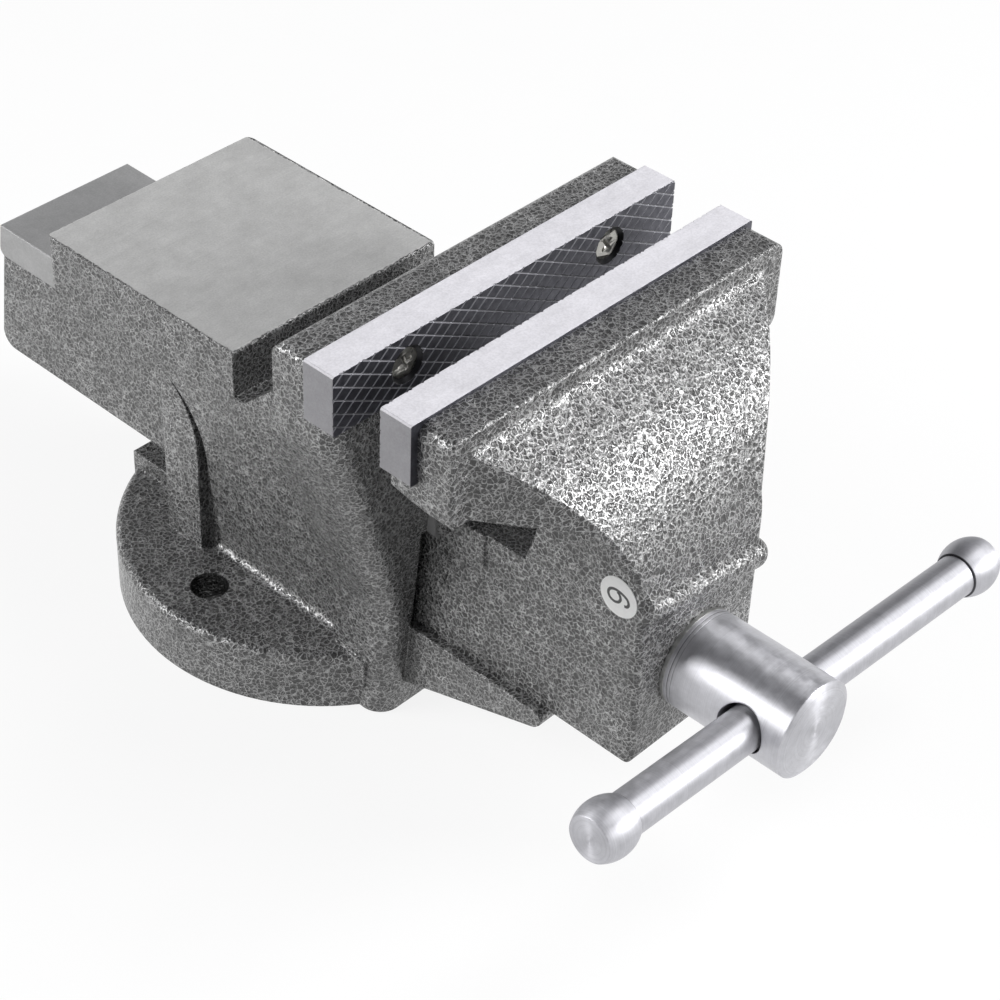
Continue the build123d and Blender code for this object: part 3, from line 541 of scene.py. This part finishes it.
def smooth_by_angle(mesh, degrees):
    """Smooth shading that stops at edges sharper than an angle."""
    mesh.polygons.foreach_set("use_smooth", [True] * len(mesh.polygons))
    mesh.set_sharp_from_angle(angle=radians(degrees))


def add_piece(name, mesh, material, body, slot, *nodes):
    """A new piece that rides on a body and may stand for CAD nodes."""
    piece = bpy.data.objects.new(name, mesh)
    SCENE.collection.objects.link(piece)
    mesh.materials.clear()
    mesh.materials.append(material)
    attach(piece, body)
    if nodes:
        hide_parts(*nodes)


def prism(mesh, corners, direction, length):
    """Adds a prism from a flat outline, drawn out along a direction to both sides."""
    offset = Vector(direction).normalized() * length / 2
    near = [mesh.verts.new(Vector(corner) - offset) for corner in corners]
    far = [mesh.verts.new(Vector(corner) + offset) for corner in corners]
    mesh.faces.new(near)
    mesh.faces.new(reversed(far))
    for i in range(len(corners)):
        j = (i + 1) % len(corners)
        mesh.faces.new((near[j], near[i], far[i], far[j]))


def finished_mesh(name, mesh):
    """The mesh data of a mesh that has been worked on, which is then let go."""
    bmesh.ops.recalc_face_normals(mesh, faces=mesh.faces)
    data = bpy.data.meshes.new(name)
    mesh.to_mesh(data)
    mesh.free()
    return data


def solid_object(name, mesh):
    made = bpy.data.objects.new(name, finished_mesh(name, mesh))
    SCENE.collection.objects.link(made)
    return made


def welded_copy(node):
    """A node's mesh with its faces joined and without stored shading normals, to work on."""
    work = bmesh.new()
    work.from_mesh(NODES[node].data)
    bmesh.ops.remove_doubles(work, verts=work.verts, dist=NODE_WELD)
    layers = work.loops.layers
    for kind in (layers.float_vector, layers.int):
        for layer in [kind[name] for name in kind.keys() if "normal" in name]:
            kind.remove(layer)
    return work


def carved(node, name, cutters):
    """Copy of a node's mesh with the cutters taken away, one after another."""
    piece = solid_object(name + "_work", welded_copy(node))
    for cutter in cutters:
        cut = piece.modifiers.new("cut", "BOOLEAN")
        cut.operation = "DIFFERENCE"
        cut.solver = "EXACT"
        cut.object = cutter
    depsgraph = bpy.context.evaluated_depsgraph_get()
    depsgraph.update()
    result = bpy.data.meshes.new_from_object(piece.evaluated_get(depsgraph))
    result.name = name
    for extra in [piece, *cutters]:
        bpy.data.objects.remove(extra)
    return result


def groove_family(name, face_y, into, angle, spacing):
    """Cutters for the V grooves across a gripping face at one angle."""
    low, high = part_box("fixed_jaw_plate")
    centre = Vector((0, face_y, (low.z + high.z) / 2))
    along = Vector((cos(angle), 0, sin(angle)))
    across = Vector((-sin(angle), 0, cos(angle)))
    inward = Vector((0, into, 0))
    lift = GROOVE_HALF * (1 + GROOVE_PROUD / GROOVE_DEPTH)
    count = int(GRIP_REACH_X * abs(sin(angle)) / spacing + GRIP_REACH_Z * cos(angle) / spacing) + 2
    mesh = bmesh.new()
    for i in range(-count, count + 1):
        middle = centre + across * spacing * (i + GROOVE_PHASE)
        mouth = middle - inward * GROOVE_PROUD
        corners = [mouth - across * lift, mouth + across * lift, middle + inward * GROOVE_DEPTH]
        prism(mesh, corners, along, GROOVE_LENGTH)
    return solid_object(name, mesh)


def knurled_plate(node, name, face_y, into):
    """A jaw plate with two families of grooves that cross."""
    cutters = [
        groove_family(name + "_flat_cuts", face_y, into, FLAT_ANGLE, FLAT_SPACING),
        groove_family(name + "_steep_cuts", face_y, into, STEEP_ANGLE, STEEP_SPACING),
    ]
    return carved(node, name, cutters)


def cross_recess(name, face_y, into):
    """Cutters for the cross recesses in a pair of plate screws, one for each bar of the crosses."""
    top = Vector((0, -into * RECESS_RISE, 0))
    deep = Vector((0, into * RECESS_DEPTH, 0))
    cutters = []
    for bar in (0, pi / 2):
        mesh = bmesh.new()
        for side, turn in RECESS_TURNS:
            centre = Vector((side * SCREW_X, face_y, SCREW_Z))
            along = Vector((cos(turn + bar), 0, sin(turn + bar)))
            across = Vector((-sin(turn + bar), 0, cos(turn + bar)))
            mouth, foot = along * RECESS_MOUTH, along * RECESS_FOOT
            corners = [top + mouth, top - mouth, deep - foot, deep + foot]
            prism(mesh, [centre + corner for corner in corners], across, RECESS_BAR)
        cutters.append(solid_object(f"{name}_{len(cutters)}", mesh))
    return cutters


def screw_thread():
    """Closed mesh of the cut thread, with a chamfered tail."""
    end = SCREW_TAIL - TAIL_CHAMFER
    profile = ((0.0, 0.0), (0.30, 0.0), (0.42, THREAD_DEPTH), (0.88, THREAD_DEPTH), (1.0, 0.0))
    thread = bmesh.new()

    def point(radius, angle, y):
        return thread.verts.new((radius * sin(angle), y, SPINDLE_Z + radius * cos(angle)))

    rings = []
    for row in range(int((end - THREAD_START) / THREAD_LEAD * THREAD_STEPS) + THREAD_STEPS + 2):
        angle = -2 * pi * row / THREAD_STEPS
        ring = []
        for share, depth in profile:
            y = THREAD_START + (row / THREAD_STEPS + share - 1.0) * THREAD_LEAD
            y = min(max(y, THREAD_START), end)
            run_in = min(1.0, (y - THREAD_START) / THREAD_LEAD, (end - y) / THREAD_LEAD)
            ring.append(point(SCREW_RADIUS - depth * run_in, angle, y))
        rings.append(ring)
    for first, second in zip(rings, rings[1:]):
        for i in range(len(profile) - 1):
            thread.faces.new((first[i], first[i + 1], second[i + 1], second[i]))
    turns = [-2 * pi * i / THREAD_STEPS for i in range(THREAD_STEPS)]
    root = [point(SCREW_RADIUS, turn, end) for turn in turns]
    tail = [point(SCREW_RADIUS - TAIL_CHAMFER, turn, SCREW_TAIL) for turn in turns]
    for i in range(THREAD_STEPS):
        j = (i + 1) % THREAD_STEPS
        thread.faces.new((root[i], root[j], tail[j], tail[i]))
    bmesh.ops.remove_doubles(thread, verts=thread.verts, dist=THREAD_WELD)
    bmesh.ops.holes_fill(thread, edges=[edge for edge in thread.edges if edge.is_boundary])
    return finished_mesh("screw_thread", thread)


def threaded_spindle():
    """The turned hub as it is, with a cut thread on the rest of the screw."""
    source = welded_copy("spindle")
    everything = source.verts[:] + source.edges[:] + source.faces[:]
    cut = bmesh.ops.bisect_plane(
        source, geom=everything, plane_co=(0, THREAD_START, 0), plane_no=(0, 1, 0), clear_outer=True
    )
    rim = [edge for edge in cut["geom_cut"] if isinstance(edge, bmesh.types.BMEdge)]
    bmesh.ops.edgeloop_fill(source, edges=rim)
    bmesh.ops.recalc_face_normals(source, faces=source.faces)
    source.from_mesh(screw_thread())
    mesh = bpy.data.meshes.new("spindle_threaded")
    source.to_mesh(mesh)
    source.free()
    return mesh


def round_off(mesh):
    """Normals of a true cylinder on the turned hub, whose faces are long and uneven."""
    normals = [corner.vector.copy() for corner in mesh.corner_normals]
    for face in mesh.polygons:
        for loop in face.loop_indices:
            place = mesh.vertices[mesh.loops[loop].vertex_index].co
            outward = Vector((place.x, 0, place.z - SPINDLE_Z))
            if outward.length > SCREW_RADIUS and face.normal.dot(outward.normalized()) > FACES_OUTWARD:
                normals[loop] = outward.normalized()
    mesh.normals_split_custom_set(normals)


def flowing(points, steps):
    """Points along a smooth curve through the given ones."""
    line = []
    ends = [points[0] * 2 - points[1], *points, points[-1] * 2 - points[-2]]
    for before, first, second, after in zip(ends, ends[1:], ends[2:], ends[3:]):
        for step in range(steps):
            t = step / steps
            pull = (second - before) * t + (before * 2 - first * 5 + second * 4 - after) * t ** 2
            line.append(first + (pull + (first * 3 - before - second * 3 + after) * t ** 3) / 2)
    return line + [points[-1]]


def size_number():
    """Plain size number, drawn as one stroke and laid on the sticker."""
    line = flowing([Vector((x, y, 0)) for x, y in NUMBER_STROKE], NUMBER_STEPS)
    film = Vector((0, 0, HALF_FILM))
    mesh = bmesh.new()
    rows = []
    for i, point in enumerate(line):
        run = (line[min(i + 1, len(line) - 1)] - line[max(i - 1, 0)]).normalized()
        side = Vector((-run.y, run.x, 0)) * HALF_STROKE
        corners = [(point + side, 1), (point - side, 1), (point - side, -1), (point + side, -1)]
        rows.append([mesh.verts.new(corner * NUMBER_HEIGHT + film * face) for corner, face in corners])
    for first, second in zip(rows, rows[1:]):
        for i in range(4):
            j = (i + 1) % 4
            mesh.faces.new((first[i], first[j], second[j], second[i]))
    mesh.faces.new(rows[0])
    mesh.faces.new(rows[-1])
    drawn = finished_mesh("size_number", mesh)
    low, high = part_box("size_sticker")
    middle = (low + high) / 2
    upright = Matrix(((0, 0, -1), (-1, 0, 0), (0, 1, 0))).to_4x4()
    spin = Matrix.Rotation(NUMBER_SPIN, 4, "X")
    drawn.transform(Matrix.Translation((low.x - HALF_FILM, middle.y, middle.z)) @ spin @ upright)
    return drawn


def dress_part():
    """Materials on the CAD nodes, and the pieces that show the fine relief."""
    dress(casting_material("enamel_fixed", anvil_is_bare, ANVIL_GREY, "X"), "fixed_jaw_body")
    dress(casting_material("enamel_moving", rails_are_bare, RAIL_GREY, "Y"), "moving_jaw_body")

    hub_turn = (radians(90), 0, 0)
    hub = turned_material("turned_hub", "Y", hub_turn, (0, HUB_ROOT, SPINDLE_Z), 0.44, HUB_RINGS)
    dress(hub, "spindle")
    bar_turn = (0, radians(-90) - HANDLE_TILT, 0)
    bar_centre = (0, HANDLE_Y, SPINDLE_Z - HANDLE_DROP)
    # The seams at the knobs take painted shade, like grooves round the bar
    shaded_seams = [(seat, SEAM_HALF, SEAM_SHADE_DARKNESS) for seat in KNOB_SEATS]
    bar = turned_material("polished_bar", "X", bar_turn, bar_centre, 0.54, shaded_seams)
    dress(bar, "handle_bar", "handle_knob_left", "handle_knob_right")

    plate = plate_material()
    screw = plated_material("zinc_screw", SCREW_ZINC, 0.32, 0.25)
    zinc = plated_material("zinc_fastener", FASTENER_ZINC, 0.36, 0.3)
    dress(zinc, "nut_bolt", "nut_washer", "thrust_washer", "spring_washer", "split_pin")
    dress(plated_material("oiled_spring", SPRING_STEEL, 0.34, 0.35), "return_spring")
    dress(cast_material(), "spindle_nut")
    dress(sticker_material(), "size_sticker")

    fixed_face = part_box("fixed_jaw_plate")[0].y
    moving_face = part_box("moving_jaw_plate")[1].y
    for body, face_y, into in (("fixed_jaw", fixed_face, 1), ("moving_jaw", moving_face, -1)):
        side = body.split("_")[0]
        plate_mesh = knurled_plate(f"{side}_jaw_plate", f"{side}_plate_knurled", face_y, into)
        add_piece(f"{side}_plate_knurled", plate_mesh, plate, body, "jaw_plate", f"{side}_jaw_plate")
        recess = cross_recess(f"{side}_recess", face_y + into * HEAD_SINK, into)
        screw_mesh = carved(f"{side}_plate_screws", f"{side}_screws_crossed", recess)
        smooth_by_angle(screw_mesh, SHARP_DEGREES)
        add_piece(f"{side}_screws_crossed", screw_mesh, screw, body, "plate_screw", f"{side}_plate_screws")

    spindle = threaded_spindle()
    smooth_by_angle(spindle, SHARP_DEGREES)
    round_off(spindle)
    add_piece("spindle_threaded", spindle, hub, "screw", "spindle", "spindle")
    add_piece("size_number", size_number(), ink_material(), "moving_jaw", "sticker")


def paper_material():
    """White paper, darker to the light that it throws back at the part."""
    paper = Shade("white_paper")
    path = paper.node("ShaderNodeLightPath").outputs
    seen = paper.math("MAXIMUM", path["Is Camera Ray"], path["Is Glossy Ray"])
    seen = paper.math("MAXIMUM", seen, path["Is Transmission Ray"])
    fibre = paper.vary(paper.noise(paper.place(), 40, 3), 0.88, 0.90)
    paper.set(Base_Color=paper.blend(seen, PAPER_BOUNCE, fibre), Roughness=0.9)
    glow = paper.node("ShaderNodeEmission").outputs[0]
    share = paper.product(seen, PAPER_GLOW)
    mixed = paper.node("ShaderNodeMixShader", share, paper.shader.outputs[0], glow)
    paper.tree.links.new(mixed.outputs[0], paper.tree.nodes["Material Output"].inputs["Surface"])
    return paper.material


def paper_sweep():
    """Round sheet of paper under the part, with a rim that rises."""
    mesh = bmesh.new()
    turns = [2 * pi * i / PAPER_SEGMENTS for i in range(PAPER_SEGMENTS)]
    rows = []
    for radius, height in PAPER_PROFILE:
        if radius == 0.0:
            rows.append([mesh.verts.new((0, 0, 0))] * PAPER_SEGMENTS)
        else:
            places = [(radius * cos(turn), radius * sin(turn), height) for turn in turns]
            rows.append([mesh.verts.new(place) for place in places])
    for first, second in zip(rows, rows[1:]):
        for i in range(PAPER_SEGMENTS):
            j = (i + 1) % PAPER_SEGMENTS
            corners = [first[i], second[i], second[j]]
            if first[j] is not first[i]:
                corners.append(first[j])
            mesh.faces.new(corners)
    floor = solid_object("paper_sweep", mesh)
    floor.location.z = -PAPER_DROP
    smooth_by_angle(floor.data, PAPER_DEGREES)
    return floor


def softbox(name, direction, distance, side, power):
    """Square lamp that shines on the part from a direction."""
    lamp = bpy.data.lights.new(name, "AREA")
    lamp.shape = "RECTANGLE"
    lamp.size = lamp.size_y = side
    lamp.energy = power
    made = bpy.data.objects.new(name, lamp)
    made.location = Vector(LIGHT_AIM) + Vector(direction).normalized() * distance
    made.rotation_euler = Vector(direction).to_track_quat("Z", "Y").to_euler()
    SCENE.collection.objects.link(made)


def studio():
    """White paper under and round the part, three softboxes and a grey world."""
    material = paper_material()
    floor = paper_sweep()
    floor.data.materials.append(material)

    for settings in SOFTBOXES:
        softbox(*settings)

    world = bpy.data.worlds.new("studio_air")
    world.use_nodes = True
    background = world.node_tree.nodes["Background"]
    background.inputs["Color"].default_value = AIR_GREY
    background.inputs["Strength"].default_value = 1.0
    SCENE.world = world


def camera():
    """Camera at the photograph's place."""
    back = Vector(CAMERA_BACK).normalized()
    right = Vector((0, 0, 1)).cross(back).normalized()
    up = back.cross(right)
    tilted_right = right * cos(CAMERA_ROLL) + up * sin(CAMERA_ROLL)
    tilted_up = up * cos(CAMERA_ROLL) - right * sin(CAMERA_ROLL)
    place = Vector(CAMERA_AIM) + back * CAMERA_DISTANCE
    turn = Matrix((tilted_right, tilted_up, back)).transposed().to_4x4()
    data = bpy.data.cameras.new("photo_camera")
    data.sensor_width = CAMERA_SENSOR
    data.lens = CAMERA_LENS
    data.clip_start, data.clip_end = CAMERA_CLIP
    made = bpy.data.objects.new("photo_camera", data)
    made.matrix_world = Matrix.Translation(place) @ turn
    SCENE.collection.objects.link(made)
    SCENE.camera = made


dress_part()
studio()
camera()
SCENE.view_settings.view_transform = "Standard"
